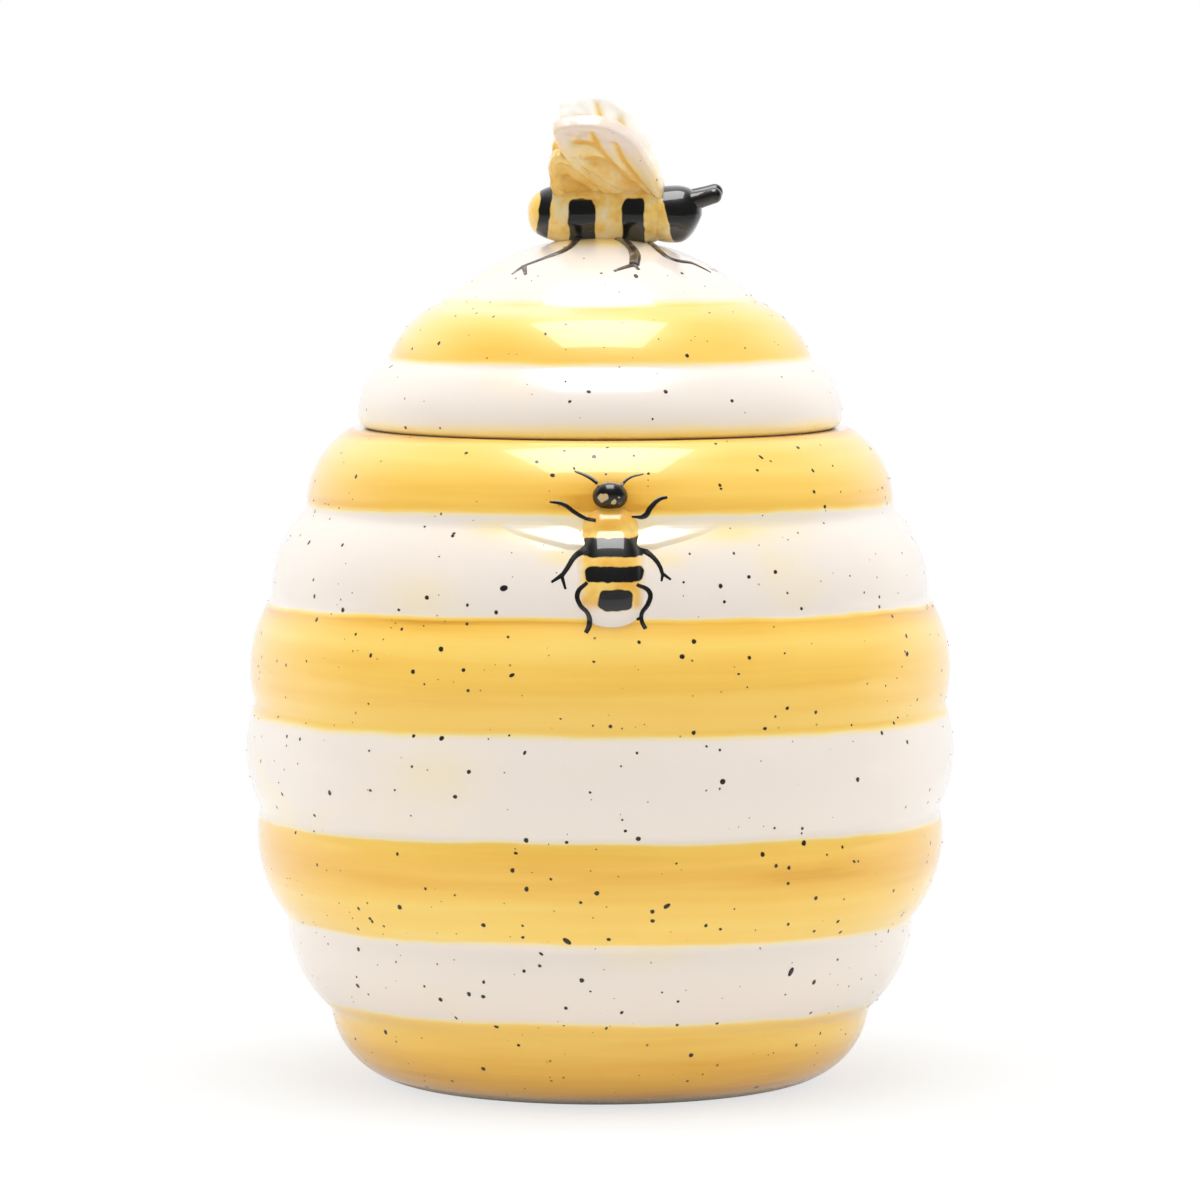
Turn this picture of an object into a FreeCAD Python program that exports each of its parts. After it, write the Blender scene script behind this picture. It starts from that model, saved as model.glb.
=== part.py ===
import FreeCAD, Part
import math
import os

# Honey pot shaped as a coiled hive, with a lift-off lid whose knob is a bee.
# Millimetres and degrees. +Z is up, the origin is the centre of the foot, the front looks along -Y.

# Pot: coils from the foot up, and the belly curve that carries the grooves between them
coil_heights = [10.4, 13.0, 15.6, 14.6, 15.1, 12.3, 11.4]
coil_bulges = [2.9, 1.6, 1.8, 1.6, 1.7, 1.45, 1.9]
belly_radius = 48.9
belly_height = 50.4
belly_reach_down = 64.0
belly_reach_up = 57.5
groove_round = 2.0

# Pot: foot, wall and mouth
foot_radius = 27.0
foot_ring_width = 4.5
foot_recess = 1.4
foot_recess_run = 1.0
floor_thickness = 4.2
floor_corner = 8.0
pot_wall = 4.5
mouth_radius = 29.0
mouth_depth = 5.0
mouth_round = 0.9
rim_land = 6.0
rim_round = 1.2
shoulder_bulge = 1.5

# Lid: coils from its edge up, the flange that locates it in the mouth, and its hollow
lid_coil_heights = [9.5, 8.2, 9.0]
lid_coil_bulges = [1.7, 1.25, 1.8]
lid_groove_insets = [4.0, 11.6]
lid_setback = 1.1
lid_edge_round = 1.4
lid_wall = 4.6
knob_seat_radius = 3.0
lid_dome_rise = 5.0
flange_clearance = 0.8
flange_wall = 3.6
flange_depth = 6.0
flange_round = 1.2

# Knob bee: it lies along X with its head to +X, sunk into the top of the lid
bee_offset = 2.1
bee_sink = 1.1
bee_roll = 11.0
bee_yaw = -5.0
bee_radius = 4.45
bee_tail_length = 11.8
bee_chest_length = 9.0
bee_end_fullness = 0.78
bee_middle = -0.5
head_radius = 4.05
head_half_length = 5.0
head_fullness = 0.62
head_forward = 7.3
antenna_root_radius = 1.35
antenna_tip_radius = 1.0
antenna_root = [10.0, 1.2, 1.9]
antenna_tip = [14.1, 1.7, 2.9]
wing_lean = 29.0
wing_root_side = 1.4
wing_root_height = 3.2
forewing_thickness = 1.8
hindwing_thickness = 1.4
wing_edge_round = 0.8
wing_stations = [-1.0, -0.6, 0.0, 0.6, 1.0]
forewing_outline = [(6.8, -1.0), (5.4, 4.5), (2.6, 10.5), (-1.8, 13.3), (-7.0, 13.0), (-7.8, 10.9),
                    (-5.5, 5.8), (-1.0, 1.5), (3.5, -1.8)]
hindwing_outline = [(1.5, -1.8), (-1.5, 2.3), (-5.0, 6.2), (-7.8, 7.5), (-8.9, 4.5), (-8.2, 0.6),
                    (-5.0, -1.8)]

# Knob bee: legs laid on the lid, as routes in plan from the bee's middle, with the two claws of each foot
leg_width = 1.1
claw_width = 0.7
leg_relief = 0.6
leg_routes = [[(-5.4, 3.0), (-7.4, 8.6), (-10.3, 9.9), (-13.1, 10.2)],
              [(0.3, 3.0), (1.9, 7.7), (2.4, 10.7), (2.2, 13.8)],
              [(5.0, 2.6), (6.2, 7.2), (7.4, 8.9), (10.6, 7.0)]]
claw_ends = [[(-14.8, 11.2), (-12.9, 13.0)],
             [(-0.7, 15.9), (2.8, 14.9)],
             [(13.2, 6.9)]]

# Front bee: a relief on the upper white coil, climbing over the groove on to the top coil.
# A share says how far up that coil the form sits.
abdomen_share = 0.5
thorax_share = 1.0
abdomen_radius = 6.0
abdomen_half_length = 9.2
abdomen_sink = 4.4
thorax_radius = 4.2
thorax_half_length = 3.4
thorax_sink = 2.3
relief_head_radius = 2.35
relief_head_half_length = 1.9
relief_head_sink = 0.6
relief_head_rise = 4.0
relief_fullness = 0.6
relief_wing_height = 0.6
relief_wing_outline = [(2.6, -3.0), (2.4, -1.0), (5.8, 0.5), (9.5, 1.1), (13.2, 1.0), (15.6, 0.1),
                       (13.2, -1.2), (9.5, -2.2), (6.0, -3.0)]

on_edge = 1e-4
ellipse_fullness = 0.5523
AXIS_X = FreeCAD.Vector(1, 0, 0)
AXIS_Z = FreeCAD.Vector(0, 0, 1)
ORIGIN = FreeCAD.Vector(0, 0, 0)


def at(radius, height):
    return FreeCAD.Vector(radius, 0, height)


def line(start, end):
    return Part.LineSegment(start, end).toShape()


def path(points):
    return [line(start, end) for start, end in zip(points, points[1:])]


# Middle of a coil, which stands proud of the straight line from one groove up to the next
def crest(low, high, bulge):
    chord = high - low
    outward = FreeCAD.Vector(chord.z, 0, -chord.x).normalize()
    return (low + high) * 0.5 + outward * bulge


def coil_arc(low, high, bulge):
    return Part.Arc(low, crest(low, high, bulge), high).toShape()


def coil_arcs(grooves, bulges):
    return [coil_arc(low, high, bulge) for low, high, bulge in zip(grooves, grooves[1:], bulges)]


def turned(edges):
    wire = Part.Wire(Part.__sortEdges__(edges))
    return Part.Face(wire).revolve(ORIGIN, AXIS_Z, 360)


# Rounds the circular edges that pass through the given points of the profile
def rounded(solid, points, radius):
    edges = []
    for edge in solid.Edges:
        for point in points:
            if edge.distToShape(Part.Vertex(point))[0] < on_edge and edge.Closed:
                edges.append(edge)
    return solid.makeFillet(radius, edges)


# Solid of revolution about X with rounded ends, which are blunter the greater the fullness
def spindle(back, front, radius, fullness):
    def end(length):
        poles = [at(length, 0), at(length, fullness * radius), at(fullness * length, radius), at(0, radius)]
        curve = Part.BezierCurve()
        curve.setPoles(poles)
        return curve.toShape()
    wire = Part.Wire(Part.__sortEdges__([end(-back), end(front), line(at(-back, 0), at(front, 0))]))
    return Part.Face(wire).revolve(ORIGIN, AXIS_X, 360)


def closed_curve(points):
    curve = Part.BSplineCurve()
    curve.interpolate(points, PeriodicFlag=True)
    return Part.Wire(curve.toShape())


def belly(height):
    reach = belly_reach_down if height < belly_height else belly_reach_up
    return belly_radius * math.sqrt(1 - ((height - belly_height) / reach) ** 2)


# Pot: the outside first, filled, then the cavity is taken out of it
groove_heights = [sum(coil_heights[:count]) for count in range(1, len(coil_heights))]
pot_height = sum(coil_heights)
rim_radius = mouth_radius + rim_land
grooves = [at(belly(height), height) for height in groove_heights]
pot_outline = [at(foot_radius, 0)] + grooves + [at(rim_radius, pot_height)]


def make_pot_form():
    ring = foot_radius - foot_ring_width
    under = path([at(0, pot_height), at(0, foot_recess), at(ring - foot_recess_run, foot_recess),
                  at(ring, 0), at(foot_radius, 0)])
    top = line(at(rim_radius, pot_height), at(0, pot_height))
    form = turned(under + coil_arcs(pot_outline, coil_bulges) + [top])
    form = rounded(form, grooves, groove_round)
    return rounded(form, [at(rim_radius, pot_height)], rim_round)


# The wall is cast, with one thickness at grooves and crests, so the inside follows the coils
def make_pot(form):
    floor = foot_recess + floor_thickness
    corner = at(belly(floor) - pot_wall, floor)
    outside = grooves[:1]
    for low, high, bulge in zip(grooves, grooves[1:], coil_bulges[1:]):
        outside += [crest(low, high, bulge), high]
    inside = [at(point.x - pot_wall, point.z) for point in outside]
    wall = Part.BSplineCurve()
    wall.interpolate([corner] + inside)
    throat = at(mouth_radius, pot_height - mouth_depth)
    shoulder = coil_arc(inside[-1], throat, shoulder_bulge)
    mouth = path([throat, at(mouth_radius, pot_height), at(0, pot_height), at(0, floor), corner])
    cavity = rounded(turned([wall.toShape(), shoulder] + mouth), [corner], floor_corner)
    return rounded(form.cut(cavity), [at(mouth_radius, pot_height), throat], mouth_round)


# Lid: made the same way, seated on the rim with its flange down inside the mouth
lid_radius = rim_radius - lid_setback
flange_radius = mouth_radius - flange_clearance
flange_bottom = pot_height - flange_depth
lid_top = pot_height + sum(lid_coil_heights)
lid_grooves = [at(lid_radius - inset, pot_height + sum(lid_coil_heights[:count + 1]))
               for count, inset in enumerate(lid_groove_insets)]
lid_outline = [at(lid_radius, pot_height)] + lid_grooves + [at(knob_seat_radius, lid_top)]


def make_lid_form():
    flange = path([lid_outline[-1], at(0, lid_top), at(0, flange_bottom), at(flange_radius, flange_bottom),
                   at(flange_radius, pot_height), at(lid_radius, pot_height)])
    form = turned(flange + coil_arcs(lid_outline, lid_coil_bulges))
    form = rounded(form, lid_grooves, groove_round)
    form = rounded(form, [at(flange_radius, flange_bottom)], flange_round)
    return rounded(form, [at(lid_radius, pot_height)], lid_edge_round)


def make_lid(form):
    inner = flange_radius - flange_wall
    spring = pot_height + lid_dome_rise
    crown = lid_top - lid_wall
    dome = Part.BezierCurve()
    dome.setPoles([at(inner, spring), at(inner, spring + ellipse_fullness * (crown - spring)),
                   at(ellipse_fullness * inner, crown), at(0, crown)])
    sides = path([at(0, crown), at(0, flange_bottom), at(inner, flange_bottom), at(inner, spring)])
    return form.cut(turned(sides + [dome.toShape()]))


# Knob bee: modelled about its own middle, then rolled, turned and set on the lid
bee_height = lid_top + bee_radius - bee_sink
bee_turn = FreeCAD.Rotation(AXIS_Z, bee_yaw) * FreeCAD.Rotation(AXIS_X, bee_roll)
bee_place = FreeCAD.Placement(FreeCAD.Vector(bee_offset, 0, bee_height), bee_turn)


def set_on_lid(shape):
    shape.Placement = bee_place.multiply(shape.Placement)
    return shape


def make_bee_body():
    body = spindle(bee_tail_length, bee_chest_length, bee_radius, bee_end_fullness)
    body.translate(FreeCAD.Vector(bee_middle, 0, 0))
    return set_on_lid(body)


def make_bee_head():
    head = spindle(head_half_length, head_half_length, head_radius, head_fullness)
    head.translate(FreeCAD.Vector(head_forward, 0, 0))
    return set_on_lid(head)


# Side is 1 on the bee's left, which is +Y, and -1 on its right
def make_antenna(side):
    root, tip = [FreeCAD.Vector(x, side * y, z) for x, y, z in (antenna_root, antenna_tip)]
    stem = Part.makeCone(antenna_root_radius, antenna_tip_radius, (tip - root).Length, root, tip - root)
    return set_on_lid(stem.fuse(Part.makeSphere(antenna_tip_radius, tip)))


# Blade of a wing: sections through its thickness, drawn in towards its middle near both faces
def make_wing(outline, thickness, side):
    middle = sum((FreeCAD.Vector(x, 0, z) for x, z in outline), ORIGIN) * (1 / len(outline))

    def section(share):
        inset = wing_edge_round * (1 - math.sqrt(1 - share ** 2))
        points = []
        for x, z in outline:
            inward = middle - FreeCAD.Vector(x, 0, z)
            level = FreeCAD.Vector(0, share * thickness / 2, 0)
            points.append(middle - inward * (1 - inset / inward.Length) + level)
        return closed_curve(points)
    blade = Part.makeLoft([section(share) for share in wing_stations], True)
    root = FreeCAD.Vector(0, side * wing_root_side, wing_root_height)
    blade.Placement = FreeCAD.Placement(root, FreeCAD.Rotation(AXIS_X, -side * wing_lean))
    return set_on_lid(blade)


# Upright strip with round ends, standing on a stretch of a leg's route in plan
def strip(start, end, width, bottom, height):
    run = end - start
    box = Part.makeBox(run.Length, width, height, FreeCAD.Vector(0, -width / 2, 0))
    box.Placement = FreeCAD.Placement(start, FreeCAD.Rotation(AXIS_X, run))
    posts = [Part.makeCylinder(width / 2, height, point) for point in (start, end)]
    solid = box.multiFuse(posts)
    solid.translate(FreeCAD.Vector(0, 0, bottom))
    return solid


def make_leg(route, claws, side):
    def plan(point):
        return FreeCAD.Vector(bee_offset + point[0], side * point[1], 0)
    bottom = lid_grooves[-1].z
    height = lid_top + leg_relief - bottom
    knees = [plan(point) for point in route]
    strips = [strip(start, end, leg_width, bottom, height) for start, end in zip(knees, knees[1:])]
    strips += [strip(knees[-1], plan(claw), claw_width, bottom, height) for claw in claws]
    return strips[0].multiFuse(strips[1:])


def make_legs(lid_form, body):
    groove, seat = lid_outline[-2:]
    crown = coil_arc(groove, seat, lid_coil_bulges[-1])
    cap = turned([crown] + path([seat, at(0, lid_top), at(0, groove.z), groove]))
    cap.translate(FreeCAD.Vector(0, 0, leg_relief))
    legs = [make_leg(route, claws, side) for route, claws in zip(leg_routes, claw_ends) for side in (1, -1)]
    return Part.Compound([leg.common(cap).cut(lid_form).cut(body).removeSplitter() for leg in legs])


# Front bee: rounded forms set into the wall at the front, each along the slope of the coil under it
top_coil = len(coil_heights) - 1
relief_coil = top_coil - 1


def set_on_coil(shape, coil, share, sink):
    low, high = pot_outline[coil], pot_outline[coil + 1]
    slope = FreeCAD.Vector(0, low.x - high.x, high.z - low.z)
    chord = low + (high - low) * share
    proud = coil_bulges[coil] * 4 * share * (1 - share)
    normal = FreeCAD.Vector(0, -slope.z, slope.y).normalize()
    place = FreeCAD.Vector(0, -chord.x, chord.z) + normal * (proud - sink)
    shape.Placement = FreeCAD.Placement(place, FreeCAD.Rotation(AXIS_X, slope))
    return shape


def make_relief_body():
    abdomen = spindle(abdomen_half_length, abdomen_half_length, abdomen_radius, relief_fullness)
    thorax = spindle(thorax_half_length, thorax_half_length, thorax_radius, relief_fullness)
    abdomen = set_on_coil(abdomen, relief_coil, abdomen_share, abdomen_sink)
    thorax = set_on_coil(thorax, relief_coil, thorax_share, thorax_sink)
    return abdomen.fuse(thorax)


def make_relief_head():
    head = spindle(relief_head_half_length, relief_head_half_length, relief_head_radius, relief_fullness)
    return set_on_coil(head, top_coil, relief_head_rise / coil_heights[top_coil], relief_head_sink)


# A wing crosses the groove, so it is cut from a skin that lies on the coils on both sides of it
def make_relief_wing():
    under = pot_outline[relief_coil:]
    over = [point + FreeCAD.Vector(relief_wing_height, 0, 0) for point in under]
    arcs = [arc for outline in (under, over) for arc in coil_arcs(outline, coil_bulges[relief_coil:])]
    ends = [line(under[0], over[0]), line(under[-1], over[-1])]
    skin = rounded(turned(arcs + ends), [under[1], over[1]], groove_round)
    points = [FreeCAD.Vector(x, 0, under[1].z + rise) for x, rise in relief_wing_outline]
    return Part.Face(closed_curve(points)).extrude(FreeCAD.Vector(0, -2 * belly_radius, 0)).common(skin)


os.makedirs("parts", exist_ok=True)


def save(name, shape):
    shape.exportStep("parts/" + name + ".step")


pot_form = make_pot_form()
lid_form = make_lid_form()
save("pot_body", make_pot(pot_form))
save("lid_shell", make_lid(lid_form))

bee_body = make_bee_body()
bee_head = make_bee_head()
save("knob_bee_body", bee_body.cut(lid_form))
save("knob_bee_head", bee_head.cut(bee_body).cut(lid_form))
save("knob_bee_legs", make_legs(lid_form, bee_body))
for side_name, side in (("left", 1), ("right", -1)):
    forewing = make_wing(forewing_outline, forewing_thickness, side)
    hindwing = make_wing(hindwing_outline, hindwing_thickness, side)
    save("knob_bee_" + side_name + "_antenna", make_antenna(side).cut(bee_head))
    save("knob_bee_" + side_name + "_forewing", forewing.cut(bee_body).cut(bee_head))
    save("knob_bee_" + side_name + "_hindwing", hindwing.cut(bee_body).cut(forewing))

relief_body = make_relief_body()
save("front_bee_body", relief_body.cut(pot_form))
save("front_bee_head", make_relief_head().cut(relief_body).cut(pot_form))
left_wing = make_relief_wing().cut(relief_body)
save("front_bee_left_wing", left_wing)
save("front_bee_right_wing", left_wing.mirror(ORIGIN, AXIS_X))
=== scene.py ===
import math
import random

import bpy
from mathutils import Euler, Matrix, Vector
from mathutils.geometry import interpolate_bezier


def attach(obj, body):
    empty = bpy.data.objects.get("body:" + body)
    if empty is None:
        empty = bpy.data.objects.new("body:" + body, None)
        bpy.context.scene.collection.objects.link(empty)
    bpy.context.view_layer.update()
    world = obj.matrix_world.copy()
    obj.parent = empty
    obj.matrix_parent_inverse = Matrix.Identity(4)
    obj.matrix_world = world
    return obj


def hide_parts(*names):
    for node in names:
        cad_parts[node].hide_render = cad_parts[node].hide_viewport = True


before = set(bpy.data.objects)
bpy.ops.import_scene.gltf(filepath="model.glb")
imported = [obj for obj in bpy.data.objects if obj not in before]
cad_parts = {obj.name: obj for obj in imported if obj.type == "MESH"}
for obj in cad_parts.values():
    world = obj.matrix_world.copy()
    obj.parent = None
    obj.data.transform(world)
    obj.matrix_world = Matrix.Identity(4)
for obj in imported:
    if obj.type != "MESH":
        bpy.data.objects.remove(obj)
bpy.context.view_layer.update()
mm = 0.001  # every size below is in millimetres


def startFresh():
    bpy.ops.object.select_all(action="DESELECT")


def namePiece(name):
    piece = bpy.context.object
    piece.name = name
    piece.data.name = name
    return piece


def pick(piece):
    startFresh()
    piece.select_set(True)
    bpy.context.view_layer.objects.active = piece


def applyModifiers(piece):
    pick(piece)
    for modifier in list(piece.modifiers):
        bpy.ops.object.modifier_apply(modifier=modifier.name)


def turnOut(piece):
    pick(piece)
    bpy.ops.object.mode_set(mode="EDIT")
    bpy.ops.mesh.select_all(action="SELECT")
    bpy.ops.mesh.normals_make_consistent(inside=False)
    bpy.ops.object.mode_set(mode="OBJECT")


def finishPiece(piece, material, body, slot, *nodes):
    piece.data.materials.clear()
    piece.data.materials.append(material)
    pick(piece)
    bpy.ops.object.shade_smooth()
    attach(piece, body)
    if nodes:
        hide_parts(*nodes)


# an outline is drawn point by point from one merged corner, then spun round the axis
def spun(name, points, axis, steps):
    startFresh()
    bpy.ops.mesh.primitive_plane_add(size=mm)
    piece = namePiece(name)
    bpy.ops.object.mode_set(mode="EDIT")
    bpy.ops.mesh.merge(type="CENTER")
    bpy.ops.transform.translate(value=points[0] * mm)
    for here, there in zip(points, points[1:]):
        bpy.ops.mesh.extrude_vertices_move(TRANSFORM_OT_translate={"value": (there - here) * mm})
    bpy.ops.mesh.select_all(action="SELECT")
    bpy.ops.mesh.spin(steps=steps, angle=2 * math.pi, center=(0, 0, 0), axis=axis)
    bpy.ops.mesh.select_all(action="SELECT")
    bpy.ops.mesh.remove_doubles(threshold=0.002 * mm)
    bpy.ops.mesh.normals_make_consistent(inside=False)
    bpy.ops.object.mode_set(mode="OBJECT")
    return piece


# node helpers
def put(tree, kind, settings, inputs):
    node = tree.nodes.new("ShaderNode" + kind)
    for key, value in settings.items():
        setattr(node, key, value)
    for key, value in inputs.items():
        if isinstance(value, bpy.types.NodeSocket):
            tree.links.new(value, node.inputs[key])
        else:
            node.inputs[key].default_value = value
    return node


def calc(tree, operation, first, second=0.0, third=0.0):
    return put(tree, "Math", {"operation": operation}, {0: first, 1: second, 2: third}).outputs[0]


def step(tree, value, low, high):  # 0 below low, 1 above high, smooth between
    settings = {"interpolation_type": "SMOOTHSTEP"}
    return put(tree, "MapRange", settings, {"Value": value, "From Min": low, "From Max": high}).outputs[0]


def graded(tree, value, low, high, first, last):  # straight from first at low to last at high
    inputs = {"Value": value, "From Min": low, "From Max": high, "To Min": first, "To Max": last}
    return put(tree, "MapRange", {}, inputs).outputs[0]


def mixColour(tree, share, first, second):
    return put(tree, "Mix", {"data_type": "RGBA"}, {0: share, 6: first, 7: second}).outputs[2]


def ramp(tree, value, stops, interpolation="LINEAR"):
    node = put(tree, "ValToRGB", {}, {0: value})
    elements = node.color_ramp.elements
    node.color_ramp.interpolation = interpolation
    while len(elements) > 1:
        elements.remove(elements[-1])
    elements[0].position, elements[0].color = stops[0]
    for position, colour in stops[1:]:
        elements.new(position).color = colour
    return node.outputs[0]


def noise(tree, vector, scale, detail=2.0, rough=0.5):
    inputs = {"Vector": vector, "Scale": scale, "Detail": detail, "Roughness": rough}
    return put(tree, "TexNoise", {}, inputs).outputs[0]


def stretched(tree, vector, size, detail):  # noise with features of that width and height, in millimetres
    across, up = size
    scale = (1 / (across * mm), 1 / (across * mm), 1 / (up * mm))
    return noise(tree, put(tree, "Mapping", {}, {"Vector": vector, "Scale": scale}).outputs[0], 1, detail)


def swing(tree, value, amount):  # a noise about zero
    return calc(tree, "MULTIPLY", calc(tree, "SUBTRACT", value, 0.5), amount)


def objectPlace(tree):
    return put(tree, "TexCoord", {}, {}).outputs["Object"]


def axesOf(tree, vector):
    return put(tree, "SeparateXYZ", {}, {0: vector}).outputs


def weightOf(tree, label):  # what weigh has left on a mesh
    return put(tree, "Attribute", {"attribute_name": label + "Tone"}, {}).outputs["Fac"]


def inMm(tree, place):
    return put(tree, "VectorMath", {"operation": "SCALE"}, {0: place, 3: 1 / mm}).outputs[0]


def squareSum(tree, first, second):
    return calc(tree, "MULTIPLY_ADD", first, first, calc(tree, "MULTIPLY", second, second))


def wavedAxes(tree, local, size, depth):  # across and up, bent a little, so that painted edges are uneven
    bent = put(tree, "TexNoise", {}, {"Vector": local, "Scale": size, "Detail": 1.0}).outputs[1]
    moved = put(tree, "VectorMath", {"operation": "MULTIPLY_ADD"}, {0: bent, 1: (depth,) * 3, 2: local})
    axes = axesOf(tree, moved.outputs[0])
    return [calc(tree, "SUBTRACT", axes[label], depth / 2) for label in "XZ"]


def newGroup(name, inputs, outputs):
    group = bpy.data.node_groups.new(name, "ShaderNodeTree")
    for label, kind, value in inputs:
        group.interface.new_socket(label, in_out="INPUT", socket_type="NodeSocket" + kind).default_value = value
    for label, kind in outputs:
        group.interface.new_socket(label, in_out="OUTPUT", socket_type="NodeSocket" + kind)
    return group, group.nodes.new("NodeGroupInput").outputs, group.nodes.new("NodeGroupOutput").inputs


def useGroup(tree, group, inputs):
    return put(tree, "Group", {"node_tree": group}, inputs).outputs


def srgb(red, green, blue):  # a colour as it shows on screen, 0 to 255
    def linear(value):
        value /= 255
        return value / 12.92 if value <= 0.04045 else ((value + 0.055) / 1.055) ** 2.4
    return (linear(red), linear(green), linear(blue), 1.0)


def grey(value):
    return (value, value, value, 1.0)


# brushed underglaze: long streaks round the pot over broad soft patches
washLook = {"streak": (40, 2.0), "patch": (26, 6.5)}


def makeWashGroup():
    group, given, result = newGroup(
        "brushedWash",
        [("Vector", "Vector", (0, 0, 0)), ("Streaks", "Float", 0.5), ("Patches", "Float", 0.5)],
        [("Density", "Float")])
    streak = swing(group, stretched(group, given["Vector"], washLook["streak"], 3), given["Streaks"])
    patch = swing(group, stretched(group, given["Vector"], washLook["patch"], 1.5), given["Patches"])
    group.links.new(calc(group, "ADD", streak, patch), result["Density"])
    return group


# iron specks in the glaze: a dot in each cell, of its own size
speckLook = {"bendScale": 1200, "bend": 0.25, "edge": 0.09, "rarity": 2.0}


def makeSpeckGroup():
    group, given, result = newGroup(
        "ironSpecks",
        [("Vector", "Vector", (0, 0, 0)), ("Cell", "Float", 2.4), ("Size", "Float", 0.3)],
        [("Mask", "Float")])
    inputs = {"Vector": given["Vector"], "Scale": speckLook["bendScale"], "Detail": 0}
    bent = put(group, "TexNoise", {}, inputs).outputs[1]
    shift = put(group, "VectorMath", {"operation": "MULTIPLY_ADD"},
                {0: bent, 1: (speckLook["bend"] * mm,) * 3, 2: given["Vector"]}).outputs[0]
    perCell = calc(group, "DIVIDE", 1 / mm, given["Cell"])
    spots = put(group, "TexVoronoi", {}, {"Vector": shift, "Scale": perCell}).outputs
    away = calc(group, "MULTIPLY", spots["Distance"], given["Cell"])
    chance = put(group, "SeparateColor", {}, {0: spots["Color"]}).outputs[0]
    reach = calc(group, "MULTIPLY", calc(group, "POWER", chance, speckLook["rarity"]), given["Size"])
    inner = calc(group, "SUBTRACT", reach, speckLook["edge"])
    group.links.new(graded(group, away, inner, reach, 1.0, 0.0), result["Mask"])
    return group


# slow waves where the glaze has run, with fine brush ridges
rippleLook = {"slow": (14, 8), "ridges": (20, 0.8)}


def makeRippleGroup():
    group, given, result = newGroup(
        "glazeRipple", [("Vector", "Vector", (0, 0, 0)), ("Ridges", "Float", 0.15)], [("Height", "Float")])
    slow = stretched(group, given["Vector"], rippleLook["slow"], 1)
    ridges = stretched(group, given["Vector"], rippleLook["ridges"], 2)
    height = calc(group, "MULTIPLY_ADD", ridges, given["Ridges"], slow)
    group.links.new(height, result["Height"])
    return group


# a painted patch with rounded corners, on the two coordinates that it is given
def makePatchGroup():
    group, given, result = newGroup(
        "paintedPatch",
        [("Across", "Float", 0), ("Up", "Float", 0), ("Half Width", "Float", 1), ("Half Height", "Float", 1),
         ("Corner", "Float", 0.5), ("Soft", "Float", 0.1)],
        [("Mask", "Float")])
    squares = 0.0
    for place, half in (("Across", "Half Width"), ("Up", "Half Height")):
        flat = calc(group, "SUBTRACT", given[half], given["Corner"])
        past = calc(group, "SUBTRACT", calc(group, "ABSOLUTE", given[place]), flat)
        past = calc(group, "MAXIMUM", past, 0.0)
        squares = calc(group, "MULTIPLY_ADD", past, past, squares)
    away = calc(group, "SUBTRACT", calc(group, "SQRT", squares), given["Corner"])
    inner = calc(group, "MULTIPLY", given["Soft"], -1.0)
    group.links.new(step(group, away, given["Soft"], inner), result["Mask"])
    return group


washGroup = makeWashGroup()
speckGroup = makeSpeckGroup()
rippleGroup = makeRippleGroup()
patchGroup = makePatchGroup()
print("finishes: shared groups ready")


def newMaterial(name):
    material = bpy.data.materials.new(name)
    material.use_nodes = True
    return material, material.node_tree, material.node_tree.nodes["Principled BSDF"]


glazeLook = {"Roughness": 0.3, "Specular IOR Level": 0.25, "Coat Weight": 1.0, "Coat Roughness": 0.03}
rippleHeight = 0.12


def glazed(name, waves=0.35, gloss=1.5):  # clear gloss over a colour that is linked later
    material, tree, shader = newMaterial(name)
    for label, value in glazeLook.items():
        shader.inputs[label].default_value = value
    shader.inputs["Coat IOR"].default_value = gloss
    place = objectPlace(tree)
    height = useGroup(tree, rippleGroup, {"Vector": place})["Height"]
    bump = put(tree, "Bump", {}, {"Height": height, "Strength": waves, "Distance": rippleHeight * mm})
    tree.links.new(bump.outputs[0], shader.inputs["Coat Normal"])
    tree.links.new(bump.outputs[0], shader.inputs["Normal"])
    return material, tree, shader, place


def mottled(name, waves, gloss, scale, stops):  # a dark glaze, uneven in tone
    material, tree, shader, place = glazed(name, waves, gloss)
    tree.links.new(ramp(tree, noise(tree, place, scale, 2), stops), shader.inputs["Base Color"])
    return material


def speckled(tree, place, colour, look):
    fine = useGroup(tree, speckGroup, {"Vector": place, "Cell": look["cell"], "Size": look["speck"]})["Mask"]
    return mixColour(tree, fine, colour, speckBrown)


def washOf(tree, place, look):
    inputs = {"Vector": place, "Streaks": look["streaks"], "Patches": look["patches"]}
    return useGroup(tree, washGroup, inputs)["Density"]


softEdge = 0.1  # of a painted patch


def paintPatch(tree, across, up, patch, corner):
    x, z, wide, tall = patch
    return useGroup(tree, patchGroup, {
        "Across": calc(tree, "SUBTRACT", across, x), "Up": calc(tree, "SUBTRACT", up, z),
        "Half Width": wide, "Half Height": tall, "Corner": corner, "Soft": softEdge})["Mask"]


clayWhite = srgb(243, 232, 221)
speckBrown = srgb(46, 34, 24)
paintStops = [(0.0, clayWhite), (0.22, srgb(250, 231, 180)), (0.5, srgb(254, 218, 114)),
              (0.72, srgb(252, 205, 94)), (0.9, srgb(243, 188, 74)), (1.0, srgb(222, 160, 50))]
bandLook = {"wave": (42, 60), "fray": (9, 3), "stain": (24, 15), "stainFrom": 0.56, "stainTo": 0.8,
            "halfWidth": 50, "frontEdge": 5}


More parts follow.
